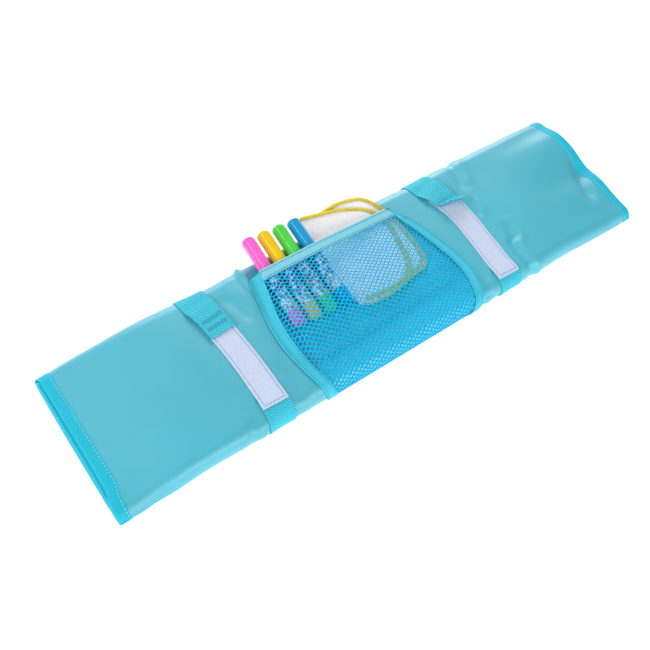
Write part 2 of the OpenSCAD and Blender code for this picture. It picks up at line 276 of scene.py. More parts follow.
def add_mesh(name, points, faces, uv=None, relief=None):
    """A smooth-shaded piece from points in millimetres. uv and relief hold one value for each point."""
    points = np.asarray(points, float).reshape(-1, 3).copy()
    points[:, 1] += ROLL_Y
    mesh = bpy.data.meshes.new(name)
    mesh.from_pydata((points * MM).tolist(), [], [list(map(int, f)) for f in faces])
    mesh.polygons.foreach_set("use_smooth", [True] * len(mesh.polygons))
    if uv is not None:
        loops = np.zeros(len(mesh.loops), int)
        mesh.loops.foreach_get("vertex_index", loops)
        layer = mesh.uv_layers.new(name="UVMap")
        layer.data.foreach_set("uv", np.asarray(uv, float).reshape(-1, 2)[loops].ravel())
    if relief is not None:
        attribute = mesh.attributes.new("relief", "FLOAT", "POINT")
        attribute.data.foreach_set("value", np.asarray(relief, np.float32).ravel())
    mesh.update()
    piece = bpy.data.objects.new(name, mesh)
    bpy.context.scene.collection.objects.link(piece)
    return piece


def grid_faces(rows, columns, offset=0, flip=False):
    i, j = np.meshgrid(np.arange(rows - 1), np.arange(columns - 1), indexing="ij")
    a = (offset + i * columns + j).ravel()
    quads = np.stack([a, a + 1, a + columns + 1, a + columns], axis=1)
    return quads[:, ::-1] if flip else quads


def rim_faces(rows, columns, under):
    """The quads that join the edges of a grid to those of a second grid, under points further on."""
    loop = np.r_[
        np.arange(columns - 1),
        np.arange(rows - 1) * columns + columns - 1,
        (rows - 1) * columns + np.arange(columns - 1, 0, -1),
        np.arange(rows - 1, 0, -1) * columns,
    ]
    nxt = np.roll(loop, -1)
    return np.stack([loop, loop + under, nxt + under, nxt], axis=1)


def slab(name, upper, lower, uv, relief=None, flip=False):
    """A closed thin piece between two grids of points. Its face list starts with the upper grid's."""
    rows, columns = upper.shape[:2]
    count = rows * columns
    faces = np.concatenate([
        grid_faces(rows, columns),
        grid_faces(rows, columns, count, flip=True),
        rim_faces(rows, columns, count),
    ])
    if flip:
        faces = faces[:, ::-1]
    uv = np.asarray(uv, float).reshape(-1, 2)
    if relief is not None:
        relief = np.r_[relief.ravel(), relief.ravel()]
    points = np.concatenate([upper.reshape(-1, 3), lower.reshape(-1, 3)])
    return add_mesh(name, points, faces, np.concatenate([uv, uv]), relief)


def tube(name, rings, uv):
    """A skin over rings of points, with its two ends capped."""
    count, sides = rings.shape[:2]
    i, j = np.meshgrid(np.arange(count - 1), np.arange(sides), indexing="ij")
    ring, j = i.ravel() * sides, j.ravel()
    beside = (j + 1) % sides
    faces = np.stack([ring + j, ring + beside, ring + sides + beside, ring + sides + j], axis=1).tolist()
    faces.append(list(range(sides))[::-1])
    faces.append([(count - 1) * sides + k for k in range(sides)])
    return add_mesh(name, rings, faces, uv)


def lengths_along(points):
    """The distance along a polyline from its start to each of its points."""
    return np.r_[0, np.cumsum(np.linalg.norm(np.diff(points, axis=0), axis=1))]


def read_at(rows, lengths, at):
    """Rows of three numbers, known at some lengths, read at others."""
    return np.stack([np.interp(at, lengths, rows[:, k]) for k in range(3)], axis=1)


def spaced(path, step):
    """Points and directions at even steps along a polyline."""
    lengths = lengths_along(path)
    at = np.arange(step / 2, lengths[-1], step)
    along = read_at(path, lengths, at + step * 0.1) - read_at(path, lengths, at - step * 0.1)
    points = read_at(path, lengths, at)
    return points, along / np.maximum(np.linalg.norm(along, axis=1, keepdims=True), 1e-9), at


def thread_faces(start, rings, sides):
    """The faces of one closed thread, whose rings of points begin at start."""
    last = start + (rings - 1) * sides
    faces = []
    for first in range(start, last, sides):
        for m in range(sides):
            n = (m + 1) % sides
            faces.append([first + m, first + n, first + sides + n, first + sides + m])
    faces.append([start + m for m in range(sides - 1, -1, -1)])
    faces.append([last + m for m in range(sides)])
    return faces


def stitches(name, paths, pitch=3.1, length=2.3, thick=0.42):
    """Rows of sewn stitches. Each path is (points, normals), and each stitch is a short fat thread."""
    ring_at = np.array([-0.5, -0.36, 0.0, 0.36, 0.5])
    ring_r = np.array([0.15, 0.75, 1.0, 0.75, 0.15])
    angles = np.arange(6) * math.pi / 3
    points, faces = [], []
    base = 0
    for path, normals in paths:
        centres, along, at = spaced(path, pitch)
        up = read_at(normals, lengths_along(path), at)
        across = np.cross(along, up)
        across /= np.maximum(np.linalg.norm(across, axis=1, keepdims=True), 1e-9)
        for c, a, u, w in zip(centres, along, up, across):
            for q, r in zip(ring_at, ring_r):
                ring = c + a * q * length
                for angle in angles:
                    points.append(ring + (w * math.cos(angle) + u * math.sin(angle)) * r * thick * 0.5)
            faces.extend(thread_faces(base, len(ring_at), len(angles)))
            base = len(points)
    return add_mesh(name, np.array(points), faces)


# ---- Materials ----


class Look:
    """A Principled material and a short way to add nodes to it."""

    def __init__(self, name, roughness=0.6, sheen=0.0, coat=0.0, specular=0.5, subsurface=0.0):
        self.material = bpy.data.materials.new(name)
        self.material.use_nodes = True
        self.tree = self.material.node_tree
        self.shader = self.tree.nodes["Principled BSDF"]
        self.shader.inputs["Roughness"].default_value = roughness
        self.shader.inputs["Sheen Weight"].default_value = sheen
        self.shader.inputs["Sheen Roughness"].default_value = 0.4
        self.shader.inputs["Coat Weight"].default_value = coat
        self.shader.inputs["Coat Roughness"].default_value = 0.08
        self.shader.inputs["Specular IOR Level"].default_value = specular
        self.shader.inputs["Subsurface Weight"].default_value = subsurface
        self.shader.inputs["Subsurface Scale"].default_value = 0.001
        self.height = None

    def node(self, kind, inputs=(), **settings):
        node = self.tree.nodes.new(kind)
        for key, value in settings.items():
            setattr(node, key, value)
        for key, value in dict(inputs).items():
            if isinstance(value, bpy.types.NodeSocket):
                self.tree.links.new(value, node.inputs[key])
            else:
                node.inputs[key].default_value = value
        return node

    def coords(self, kind="Object", scale=(1, 1, 1), rotation=(0, 0, 0)):
        source = self.node("ShaderNodeTexCoord").outputs[kind]
        inputs = {"Vector": source, "Scale": scale, "Rotation": rotation}
        return self.node("ShaderNodeMapping", inputs).outputs[0]

    def noise(self, vector, scale, detail=2.0, roughness=0.5):
        inputs = {"Vector": vector, "Scale": scale, "Detail": detail, "Roughness": roughness}
        return self.node("ShaderNodeTexNoise", inputs).outputs["Fac"]

    def wave(self, vector, scale, direction="X", distortion=0.0):
        inputs = {"Vector": vector, "Scale": scale, "Distortion": distortion}
        return self.node("ShaderNodeTexWave", inputs, bands_direction=direction).outputs["Fac"]

    def math(self, operation, a, b=0.0):
        return self.node("ShaderNodeMath", {0: a, 1: b}, operation=operation).outputs[0]

    def ramp(self, factor, stops, interpolation="LINEAR"):
        node = self.node("ShaderNodeValToRGB", {"Fac": factor})
        ramp = node.color_ramp
        ramp.interpolation = interpolation
        while len(ramp.elements) < len(stops):
            ramp.elements.new(1.0)
        for element, (at, colour) in zip(ramp.elements, stops):
            element.position = at
            element.color = (*colour, 1.0)
        return node.outputs["Color"]

    def blend(self, factor, first, second):
        """The first colour where factor is 0 and the second where it is 1."""
        node = self.node("ShaderNodeMix", {"Factor": factor}, data_type="RGBA")
        self.tree.links.new(first, node.inputs["A"])
        self.tree.links.new(second, node.inputs["B"])
        return node.outputs["Result"]

    def span(self, value, start, end, low=0.0, high=1.0):
        """A number that runs from low to high as value runs from start to end, and stays there."""
        inputs = {"Value": value, "From Min": start, "From Max": end, "To Min": low, "To Max": high}
        return self.node("ShaderNodeMapRange", inputs).outputs["Result"]

    def colour(self, socket):
        self.tree.links.new(socket, self.shader.inputs["Base Color"])

    def rough(self, factor, low, high):
        self.tree.links.new(self.span(factor, 0.0, 1.0, low, high), self.shader.inputs["Roughness"])

    def bump(self, height, strength, distance):
        inputs = {"Height": height, "Strength": strength, "Distance": distance * MM}
        if self.height is not None:
            inputs["Normal"] = self.height
        self.height = self.node("ShaderNodeBump", inputs).outputs["Normal"]
        self.tree.links.new(self.height, self.shader.inputs["Normal"])


def linear(r, g, b):
    """A colour given as 0 to 255 on screen, as the shaders want it."""
    values = np.array([r, g, b]) / 255
    return tuple(np.where(values <= 0.04045, values / 12.92, ((values + 0.055) / 1.055) ** 2.4))


LIGHT = 1.15
GLOSS = 0.02


def seen(r, g, b):
    """The base colour that shows as this colour, 0 to 255, under the studio's light."""
    return tuple(max(0.0, c - GLOSS) / LIGHT for c in linear(r, g, b))


def shade(colour, factor):
    return tuple(min(1.0, c * factor) for c in colour)


def painted_light_under_net(look):
    """1 on the part of the skin that the net covers, where the skin is painted paler to offset the net's
    shadow, and 0 elsewhere.
    """
    place = look.node("ShaderNodeSeparateXYZ", {"Vector": look.coords()})
    covered = 1.0
    for axis, start, full in (("X", -96, -84), ("X", 84, 66), ("Y", 28 + ROLL_Y, 14 + ROLL_Y), ("Z", 3, 8)):
        share = look.span(place.outputs[axis], start * MM, full * MM)
        covered = look.math("MULTIPLY", share, covered)
    return covered


def skin_look():
    look = Look("coated_skin", roughness=0.44, sheen=0.08, coat=0.85, specular=0.5)
    look.shader.inputs["Coat Roughness"].default_value = 0.56
    cloud = look.noise(look.coords(), 9, 3)
    teal = seen(74, 186, 208)
    bare = look.ramp(cloud, [(0.3, shade(teal, 0.94)), (0.7, shade(teal, 1.03))])
    # Painted light: under the net the skin is painted 20 to 30 percent lighter, offsetting the shade that
    # the net's threads cast on it.
    lit_under_net = look.ramp(cloud, [(0.3, shade(teal, 1.20)), (0.7, shade(teal, 1.30))])
    look.colour(look.blend(painted_light_under_net(look), bare, lit_under_net))
    look.rough(look.noise(look.coords(), 160, 3), 0.38, 0.50)
    uv = look.coords("UV")
    weave = look.math("ADD", look.wave(uv, 70, "X"), look.wave(uv, 70, "Y"))
    look.bump(weave, 0.10, 0.05)
    look.bump(look.noise(look.coords(), 420, 2), 0.10, 0.08)
    return look.material


def lining_look():
    look = Look("lining", roughness=0.6, sheen=0.1)
    cyan = seen(0, 190, 225)
    look.colour(look.ramp(look.noise(look.coords(), 30, 3), [(0.3, shade(cyan, 0.94)), (0.7, cyan)]))
    uv = look.coords("UV")
    weave = look.math("MULTIPLY", look.wave(uv, 50, "X"), look.wave(uv, 50, "Y"))
    look.bump(weave, 0.3, 0.08)
    return look.material


def tape_look(name, colour, pitch):
    """Ribbed tape with its ribs pitch millimetres apart. Its UV is in centimetres, u along the tape."""
    look = Look(name, roughness=0.62, sheen=0.10, specular=0.25)
    uv = look.coords("UV")
    ribs = look.wave(uv, math.pi / pitch, "X", 0.5)
    threads = look.wave(uv, math.pi / 1.7, "Y", 0.8)
    both = look.math("ADD", ribs, look.math("MULTIPLY", threads, 0.6))
    weave = look.math("MULTIPLY", both, 0.625)
    # Painted shade and highlight: the colour follows the same ribs as the bump, darker in the grooves and
    # lighter on the ribs.
    shades = [(0.1, shade(colour, 0.68)), (0.5, colour), (1.0, shade(colour, 1.20))]
    look.colour(look.ramp(weave, shades))
    look.bump(weave, 0.6, 0.22)
    look.bump(look.noise(look.coords(), 900, 2), 0.2, 0.05)
    return look.material


def webbing_look():
    look = Look("webbing", roughness=0.58, sheen=0.05, specular=0.3)
    colour = seen(74, 206, 230)
    relief = look.node("ShaderNodeAttribute", attribute_name="relief").outputs["Fac"]
    # Painted shade and highlight: the colour follows the weave's relief, darker in the gaps between threads
    # and lighter on the raised threads.
    shades = [(0.0, shade(colour, 0.55)), (0.45, colour), (1.0, shade(colour, 1.35))]
    look.colour(look.ramp(relief, shades))
    fibre = look.wave(look.coords("UV", rotation=(0, 0, 0.5)), 30, "X", 3)
    look.bump(fibre, 0.25, 0.06)
    return look.material


def loop_look():
    look = Look("loop_pile", roughness=0.9, sheen=0.5)
    pile = look.noise(look.coords(), 900, 4, 0.7)
    look.colour(look.ramp(pile, [(0.3, seen(190, 204, 234)), (0.6, seen(213, 224, 247))]))
    look.bump(pile, 0.7, 0.25)
    return look.material


def hook_look():
    look = Look("hook_tape", roughness=0.45)
    cells = look.node("ShaderNodeTexVoronoi", {"Vector": look.coords(), "Scale": 1100}).outputs["Distance"]
    look.colour(look.ramp(cells, [(0.0, seen(232, 238, 248)), (0.6, seen(196, 208, 226))]))
    look.bump(cells, 0.8, 0.3)
    return look.material


def thread_look(name, colour):
    look = Look(name, roughness=0.5, sheen=0.15)
    twist = look.wave(look.coords(rotation=(0.4, 0.3, 0.7)), 500, "X", 1.5)
    # Painted shade and highlight: the colour follows the twist, as the bump does, darker in its grooves and
    # lighter on its plies.
    look.colour(look.ramp(twist, [(0.0, shade(colour, 0.78)), (1.0, shade(colour, 1.12))]))
    look.bump(twist, 0.3, 0.05)
    return look.material


def net_look():
    look = Look("net", roughness=0.5, specular=0.06)
    cyan = (0.0, 0.49, 0.84)
    fibre = look.noise(look.coords(), 1500, 3)
    look.colour(look.ramp(fibre, [(0.25, shade(cyan, 0.9)), (0.7, shade(cyan, 1.12))]))
    look.bump(fibre, 0.4, 0.08)
    return look.material


def towelling_look():
    look = Look("towelling", roughness=0.95, sheen=0.4, subsurface=0.1)
    pile = look.node("ShaderNodeTexVoronoi", {"Vector": look.coords(), "Scale": 650}).outputs["Distance"]
    soft = look.noise(look.coords(), 700, 4, 0.7)
    look.colour(look.ramp(soft, [(0.25, seen(236, 233, 236)), (0.6, seen(255, 254, 254))]))
    look.bump(pile, 0.6, 0.4)
    look.bump(soft, 0.5, 0.3)
    return look.material


def gloss_look(name, colour):
    look = Look(name, roughness=0.16, coat=0.4, specular=0.3, subsurface=0.05)
    cloud = look.noise(look.coords(), 60, 2)
    look.colour(look.ramp(cloud, [(0.3, shade(colour, 0.97)), (0.7, shade(colour, 1.03))]))
    look.rough(look.noise(look.coords(), 400, 3), 0.12, 0.20)
    look.bump(look.noise(look.coords(), 250, 2), 0.01, 0.03)
    return look.material


def felt_look(name, colour):
    look = Look(name, roughness=0.9, sheen=0.2)
    fibre = look.noise(look.coords(), 1400, 4, 0.7)
    look.colour(look.ramp(fibre, [(0.3, shade(colour, 0.8)), (0.7, colour)]))
    look.bump(fibre, 0.6, 0.1)
    return look.material


# The flecks' colours, each with the share of the flecks at which it starts.
BRIGHT_FLECKS = [
    (0.0, linear(236, 196, 20)), (0.22, linear(242, 116, 22)), (0.42, linear(214, 40, 60)),
    (0.62, linear(0, 160, 96)), (0.82, linear(0, 140, 205)),
]
DARK_FLECKS = [
    (0.0, linear(44, 20, 104)), (0.34, linear(22, 40, 150)), (0.58, linear(116, 26, 132)),
    (0.76, linear(0, 112, 190)), (0.90, linear(190, 40, 110)),
]
# The stretch over which the flecks grow crowded and dark, as distances from the roll's middle.
FLECKS_FROM, FLECKS_TO = 2.0, 32.0


def barrel_look():
    """A white barrel printed with small flecks, crowded and dark near the cap, bright further down."""
    look = Look("flecked_barrel", roughness=0.3, coat=0.3)
    vector = look.coords()
    whites = [(0.3, linear(240, 241, 246)), (0.7, linear(253, 253, 255))]
    base = look.ramp(look.noise(vector, 80, 2), whites)
    along = look.node("ShaderNodeSeparateXYZ", {"Vector": vector}).outputs["Y"]
    near_cap = look.span(along, (FLECKS_FROM + ROLL_Y) * MM, (FLECKS_TO + ROLL_Y) * MM)
    crowd = look.span(near_cap, 0.0, 1.0, 0.52, 1.0)
    for scale, shift in ((250, 0.0), (400, 3.7)):
        place = (shift, shift * 2, shift * 3)
        moved = look.node("ShaderNodeMapping", {"Vector": vector, "Location": place})
        inputs = {"Vector": moved.outputs[0], "Scale": scale, "Randomness": 1.0}
        cells = look.node("ShaderNodeTexVoronoi", inputs)
        pick = look.node("ShaderNodeSeparateColor", {"Color": cells.outputs["Color"]})
        bright = look.ramp(pick.outputs["Red"], BRIGHT_FLECKS, "CONSTANT")
        dark = look.ramp(pick.outputs["Red"], DARK_FLECKS, "CONSTANT")
        inked = look.math("LESS_THAN", pick.outputs["Green"], crowd)
        inside = look.math("LESS_THAN", cells.outputs["Distance"], 0.52)
        mask = look.math("MULTIPLY", inked, inside)
        base = look.blend(mask, base, look.blend(near_cap, bright, dark))
    look.colour(base)
    look.bump(look.noise(vector, 300, 2), 0.04, 0.05)
    return look.material


TEAL_TAPE = seen(50, 198, 226)
TEAL_TRIM = seen(78, 208, 234)
# Painted sheen: the mouth tape is painted a much whiter teal than the other tapes, standing in for the
# sheen it catches where it faces up and back.
TEAL_MOUTH_WITH_SHEEN = seen(140, 220, 238)
TEAL_THREAD = seen(24, 158, 190)


def dress(piece, *materials):
    for material in materials:
        piece.data.materials.append(material)
    return piece


# ---- The mat ----

EDGE_THIN = 0.45


def mat_half(x):
    """Half the mat's thickness, which its edge tape presses thinner along the two sides."""
    return MAT_T / 2 - EDGE_THIN * smooth((np.abs(x) - HALF_X + 20) / 10)


TURNS_OUT = 3.4


def turns_out(length):
    """How far the turns under the top one stand out at the roll's left end, by length round the coil."""
    top_from = BEND_Y - OUTER_END_Y + BACK_R
    top_to = top_from + 2 * BEND_Y + BACK_R + FRONT_R
    on_top = smooth((length - top_from) / 20) * smooth((top_to - length) / 20)
    return TURNS_OUT * (1 - on_top) + 0.5 * np.sin(length / 55)


def sheet_grid(rows, x, half):
    """Warped points at signed half-thicknesses from the coil's middle surface."""
    y, z, ny, nz, length = (rows[:, k][:, None] for k in range(5))
    x, half = x[None, :], half[None, :]
    x = x - turns_out(length) * smooth((-240 - x) / 60)
    return warp(np.stack([x, y + ny * half, z + nz * half], axis=-1))


def make_mat(rows, looks):
    x = np.linspace(-HALF_X + 0.8, HALF_X - 0.8, 246)
    half = mat_half(x)
    outer = sheet_grid(rows, x, half)
    inner = sheet_grid(rows, x, -half)
    u = np.broadcast_to(rows[:, 4][:, None] / 10, outer.shape[:2])
    v = np.broadcast_to(x[None, :] / 10, outer.shape[:2])
    mat = slab("mat", outer, inner, np.stack([u, v], axis=-1), flip=True)
    dress(mat, looks["skin"], looks["lining"])
    quads = (len(rows) - 1) * (len(x) - 1)
    index = np.zeros(len(mat.data.polygons), int)
    index[quads:] = 1
    mat.data.polygons.foreach_set("material_index", index)
    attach(mat, "roll")
    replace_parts(mat, "mat_skin", "mat_padding", "mat_lining")
    return mat


def on_piece(piece, look, body):
    """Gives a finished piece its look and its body."""
    dress(piece, look)
    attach(piece, body)
    return piece


def side_tape(name, rows, side, look):
    """The tape folded over one side edge of the mat, all the way round the coil."""
    puff = 0.18
    across = np.array([TAPE_W, TAPE_W - 0.3, TAPE_W * 0.75, TAPE_W * 0.5, TAPE_W * 0.25, 1.6, 0.5, 0.0])
    height = np.array([
        0.0, TAPE_T * 0.8, TAPE_T + puff * 0.5, TAPE_T + puff, TAPE_T + puff * 0.7, TAPE_T, 0.1, -0.7])
    x = side * (HALF_X - across)
    outer = sheet_grid(rows, x, mat_half(x) + height)
    inner = sheet_grid(rows, x, -mat_half(x) - height)[:, ::-1]
    rings = np.concatenate([outer, inner], axis=1)
    if side > 0:
        rings = rings[:, ::-1]
    u = np.broadcast_to(rows[:, 4][:, None] / 10, rings.shape[:2])
    v = np.broadcast_to(np.r_[across, -across[::-1]][None, :] / 10, rings.shape[:2])
    return on_piece(tube(name, rings, np.stack([u, v], axis=-1)), look, "roll")


def end_tape(name, rows, look):
    """The tape folded over a free end of the mat; rows run from that end inwards."""
    x = np.linspace(-HALF_X + TAPE_W, HALF_X - TAPE_W, 120)
    start = rows[0].copy()
    direction = (rows[1, :2] - rows[0, :2]) / np.linalg.norm(rows[1, :2] - rows[0, :2])
    profile = [(TAPE_W, 0.0), (TAPE_W * 0.6, TAPE_T), (2.0, TAPE_T), (0.4, 0.3), (-0.5, -0.8)]
    half = mat_half(x)
    loops = []
    for sign in (1, -1):
        for a, h in profile[::sign]:
            y, z = start[:2] + direction * a
            off = sign * (half + h)
            loops.append(warp(np.stack([x, y + start[2] * off, z + start[3] * off], axis=-1)))
    rings = np.stack(loops, axis=1)
    u = np.broadcast_to(x[:, None] / 10, rings.shape[:2])
    v = np.broadcast_to(np.arange(rings.shape[1])[None, :] / 5, rings.shape[:2])
    return on_piece(tube(name, rings, np.stack([u, v], axis=-1)), look, "roll")


def mat_seam(name, rows, x, look):
    """A row of stitches on both faces of a side tape."""
    column = np.array([x])
    paths = []
    for sign in (1, -1):
        path = sheet_grid(rows, column, sign * (mat_half(column) + 0.5))[:, 0]
        out = sheet_grid(rows, column, sign * (mat_half(column) + 1.5))[:, 0]
        paths.append((path, out - path))
    return on_piece(stitches(name, paths, pitch=3.4, length=2.5, thick=1.0), look, "roll")


# ---- The straps ----

# Each strap's centre line, as (distance round the outside, x).
STRAP_LINES = {
    "left": [(-250, -149), (-106, -148.5), (-90, -148.5), (-64, -146.8), (22, -146.8), (48, -149.3),
             (71, -153), (112, -149)],
    "right": [(-250, 128), (-106, 127), (-90, 126.6), (-71, 126.4), (-25, 131.5), (20, 134.9), (44, 131.5),
              (71, 123.5), (112, 127)],
}
WEB_FRONT_V = {"left": -55.0, "right": -61.5}
TAIL_SPLIT_CLIMB = 10.0
TAIL_SPLIT_V = BEND_Y + math.pi * BACK_R - TAIL_SPLIT_CLIMB
LOOP_T = 1.2
TAIL_RISE = 2.5
LOOP_FRONT_V = {"left": -64.4, "right": -71.0}
LOOP_BACK_V = 50.0
TAIL_END_V = {"left": 23.0, "right": 35.5}
HOOKS_BACK_V = 54.0
HOOKS_FRONT_V = {"left": 25.0, "right": 36.0}
# The right strap's curled end: its bend, the length past it, how far its right side is pulled forward, and
# how far the end leans right and forward for each millimetre past the bend.
CURL_R = 3.4
CURL_TURN = 1.5
CURL_LENGTH = 11.5
CURL_PULL = 9.0
CURL_RIGHT = 0.95
CURL_FORWARD = 1.1


def weave_relief(along, across):
    """Coarse webbing: chevrons of raised threads, from 0 in the gaps to 1 on the threads."""
    column = across / 3.9
    zigzag = np.abs(column - np.floor(column) - 0.5)
    rows = 0.5 + 0.5 * np.cos(2 * math.pi * (along / 2.1 + zigzag * 1.1))
    gaps = np.abs(np.sin(math.pi * across / 1.95)) ** 0.5
    return rows * (0.35 + 0.65 * gaps)


def strip_grid(side, v, across, h):
    """Places on a strap: along its centre line at v, across it, and h above the roll's face."""
    line = STRAP_LINES[side]
    slope = (through(line, v + 0.5) - through(line, v - 0.5))[:, None]
    x = through(line, v)[:, None] + across
    return on_roll(x, v[:, None] - slope * across, h)


def curl(grid, beyond, across, width):
    """Bends the end of the right strap up and over to its right. beyond is the length past the bend."""
    u = across / width + 0.5
    grid[..., 1] -= CURL_PULL * u * smooth((62 - grid[..., 1]) / 26)
    beyond = beyond * np.sin(math.pi * (0.06 + 0.88 * u)) ** 0.6 * (1 - 0.25 * u)
    turn = np.minimum(beyond / CURL_R, CURL_TURN)
    straight = np.maximum(beyond - CURL_TURN * CURL_R, 0)
    y, z = grid[..., 1], grid[..., 2]
    r = CURL_R - (z - TOP - TAIL_RISE)
    at_bend = y + np.where(beyond > 0, np.maximum(TAIL_END_V["right"] - y, 0), 0)
    grid[..., 0] += np.where(beyond > 0, CURL_RIGHT * beyond * u, 0)
    out = r * np.sin(turn) + straight * math.cos(CURL_TURN) + CURL_FORWARD * beyond * u
    up = CURL_R - r * np.cos(turn) + straight * math.sin(CURL_TURN)
    grid[..., 1] = np.where(beyond > 0, at_bend - out, y)
    grid[..., 2] = np.where(beyond > 0, TOP + TAIL_RISE + up, z)
    return grid


def web_width(v):
    """The webbing is widest at the back, where it leaves the mat, and narrower on top and in front."""
    return 27.6 + 2.8 * smooth((v - 40) / 25) - 0.6 * smooth((v + 45) / 40)


def webbing(name, side, v, rise, look, curled=False):
    """A woven strip along a strap's line; rise is its mat-facing side's height at each v."""
    unit = np.linspace(-0.5, 0.5, 62)[None, :]
    width = web_width(v)[:, None]
    across = unit * width
    beyond = np.zeros_like(across)
    if curled:
        beyond = np.maximum(TAIL_END_V[side] - v, 0)[:, None] + np.zeros_like(across)
    along = np.abs(v - v[0])[:, None]
    edge = smooth((width / 2 - np.abs(across)) / 0.8)
    relief = weave_relief(along, across)
    low = np.broadcast_to(rise[:, None], across.shape)
    high = low + (WEB_T - 0.45) * (0.55 + 0.45 * edge) + 0.5 * relief * edge
    grids = []
    for h in (high, low):
        grid = strip_grid(side, v, across, h)
        if curled:
            grid = curl(grid, beyond, across, width)
        grids.append(warp(grid))
    uv = np.stack([along + 0 * across, across], axis=-1) / 10
    # The relief is also stored on the piece, and the webbing's material paints shade in the gaps and
    # highlight on the threads from it.
    piece = slab(name, grids[0], grids[1], uv, relief * edge, flip=True)
    return dress(piece, look)


def strap_ties(side):
    """The webbing sewn to the mat, and the tail that is free behind the hinge line."""
    steps = np.r_[np.arange(WEB_FRONT_V[side], -FRONT_TURN_END - 10, -0.5),
                  np.arange(-FRONT_TURN_END - 10, -FRONT_TURN_END - 2 * BEND_Y - TAIL_SPLIT_CLIMB, -0.9)]
    steps = np.r_[steps, -FRONT_TURN_END - 2 * BEND_Y - TAIL_SPLIT_CLIMB]
    root = webbing(f"strap_{side}_belt", side, steps, np.zeros_like(steps), looks["webbing"])
    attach(root, "roll")
    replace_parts(root, f"strap_{side}_webbing")
    last = TAIL_END_V[side] - (CURL_LENGTH if side == "right" else 0)
    v = np.linspace(TAIL_SPLIT_V, last, int((TAIL_SPLIT_V - last) / 0.5))
    rise = TAIL_RISE * smooth((65 - v) / 12)
    if side == "left":
        rise -= 0.5 * smooth((30 - v) / 8)
    tail = webbing(f"strap_{side}_tail_web", side, v, rise, looks["webbing"], curled=side == "right")
    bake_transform(tail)
    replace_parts(tail, f"strap_{side}_tail")


def plain_tape(name, side, v, width, low, high, look, body, node, pile=0.0):
    """A flat tape on a strap's line, between two heights at each v."""
    count = 36
    across = np.linspace(-0.5, 0.5, count)[None, :] * width
    v2 = v[:, None]
    edge = smooth((width / 2 - np.abs(across)) / 0.9)
    edge = edge * smooth((v[0] - v2) / 0.9) * smooth((v2 - v[-1]) / 0.9)
    inside = smooth((width / 2 - 3.1 - np.abs(across)) / 0.7)
    inside = inside * smooth((v[0] - 3.1 - v2) / 0.7) * smooth((v2 - v[-1] - 3.1) / 0.7)
    fuzz = 0.10 * np.sin(across * 5.1 + v2 * 3.3) * np.sin(v2 * 4.7 - across * 2.9)
    top = high[:, None] - 0.35 * (1 - edge) + pile * inside * (1 + fuzz * 2)
    upper = warp(strip_grid(side, v, across, top))
    lower = warp(strip_grid(side, v, across, np.broadcast_to(low[:, None], top.shape)))
    uv = np.stack([v2 + 0 * across, across + 0 * v2], axis=-1) / 10
    piece = dress(slab(name, upper, lower, uv, flip=True), look)
    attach(piece, body)
    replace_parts(piece, node)
    return piece


def loop_low(side, v):
    """The loop tape's lower side: on the mat, then up on to the webbing's end."""
    return 1.45 * smooth((WEB_FRONT_V[side] + 9 - v) / 10)


def strap_tapes(side):
    v = np.arange(LOOP_BACK_V, LOOP_FRONT_V[side], -0.6)
    low = loop_low(side, v)
    plain_tape(f"loop_tape_{side}", side, v, LOOP_W, low, low + LOOP_T, looks["loop"], "roll",
               f"strap_{side}_loop_tape", pile=0.35)
    v = np.arange(HOOKS_BACK_V, HOOKS_FRONT_V[side], -0.6)
    low = np.full_like(v, LOOP_T + 0.45)
    high = np.full_like(v, TAIL_RISE + 0.05)
    plain_tape(f"hooks_{side}", side, v, LOOP_W + 0.6, low, high, looks["hook"], f"strap_{side}_end",
               f"strap_{side}_hook_tape")
    inset = LOOP_W / 2 - 2.7
    front = LOOP_FRONT_V[side] + 2.9
    down = np.arange(LOOP_BACK_V - 3, front, -1.0)
    rows = [(down, np.full_like(down, inset)), (down, np.full_like(down, -inset))]
    cross = np.linspace(-inset, inset, 20)
    rows.append((np.full_like(cross, front), cross))
    paths = []
    for at, across in rows:
        h = (loop_low(side, at) + LOOP_T + 0.1)[:, None]
        place = warp(strip_grid(side, at, across[:, None], h)[:, 0])
        above = warp(strip_grid(side, at, across[:, None], h + 1)[:, 0])
        paths.append((place, above - place))
    piece = stitches(f"loop_stitches_{side}", paths, pitch=2.6, length=2.2, thick=0.5)
    on_piece(piece, looks["thread"], "roll")


def tail_stitches():
    """Two pairs of rows of stitches across the left strap's end, which hold its hook tape."""
    paths = []
    across = np.linspace(-10.5, 10.5, 24)[:, None]
    h = np.full_like(across, TAIL_RISE + WEB_T + 0.05)
    for at in (31.0, 33.2, 40.0, 42.2):
        v = np.full(len(across), at)
        place = warp(strip_grid("left", v, across, h)[:, 0])
        above = warp(strip_grid("left", v, across, h + 1)[:, 0])
        paths.append((place, above - place))
    piece = stitches("strap_left_end_stitches", paths, pitch=2.0, length=1.8, thick=0.6)
    on_piece(piece, looks["thread"], "strap_left_end")


# ---- The pocket ----

POCKET_DEPTH = 162.0
NET_STEP_X = 3.34
NET_STEP_S = 4.7
NET_T = 0.6
NET_GAP = 0.2
HOLE_SHARE = 0.70
TRIM_W = 10.6
MOUTH_TRIM_W = 12.0
TRIM_T = 0.9


def pocket_left(s):
    """The pocket's left edge, s down from its mouth: a bow, wider at the mouth and drawn in at the foot."""
    bow = -94 - 19.5 * np.sin(np.pi * s / 190)
    return bow - 3 * (1 - smooth(s / 40)) + 6.5 * smooth((s - 40) / 105)


def pocket_right(s):
    """The pocket's right edge: a bow, flattened above its middle."""
    bow = 76 + 27 * np.sin(np.pi * s / 160)
    return bow - 6 * np.exp(-(((s - 62) / 36) ** 2))


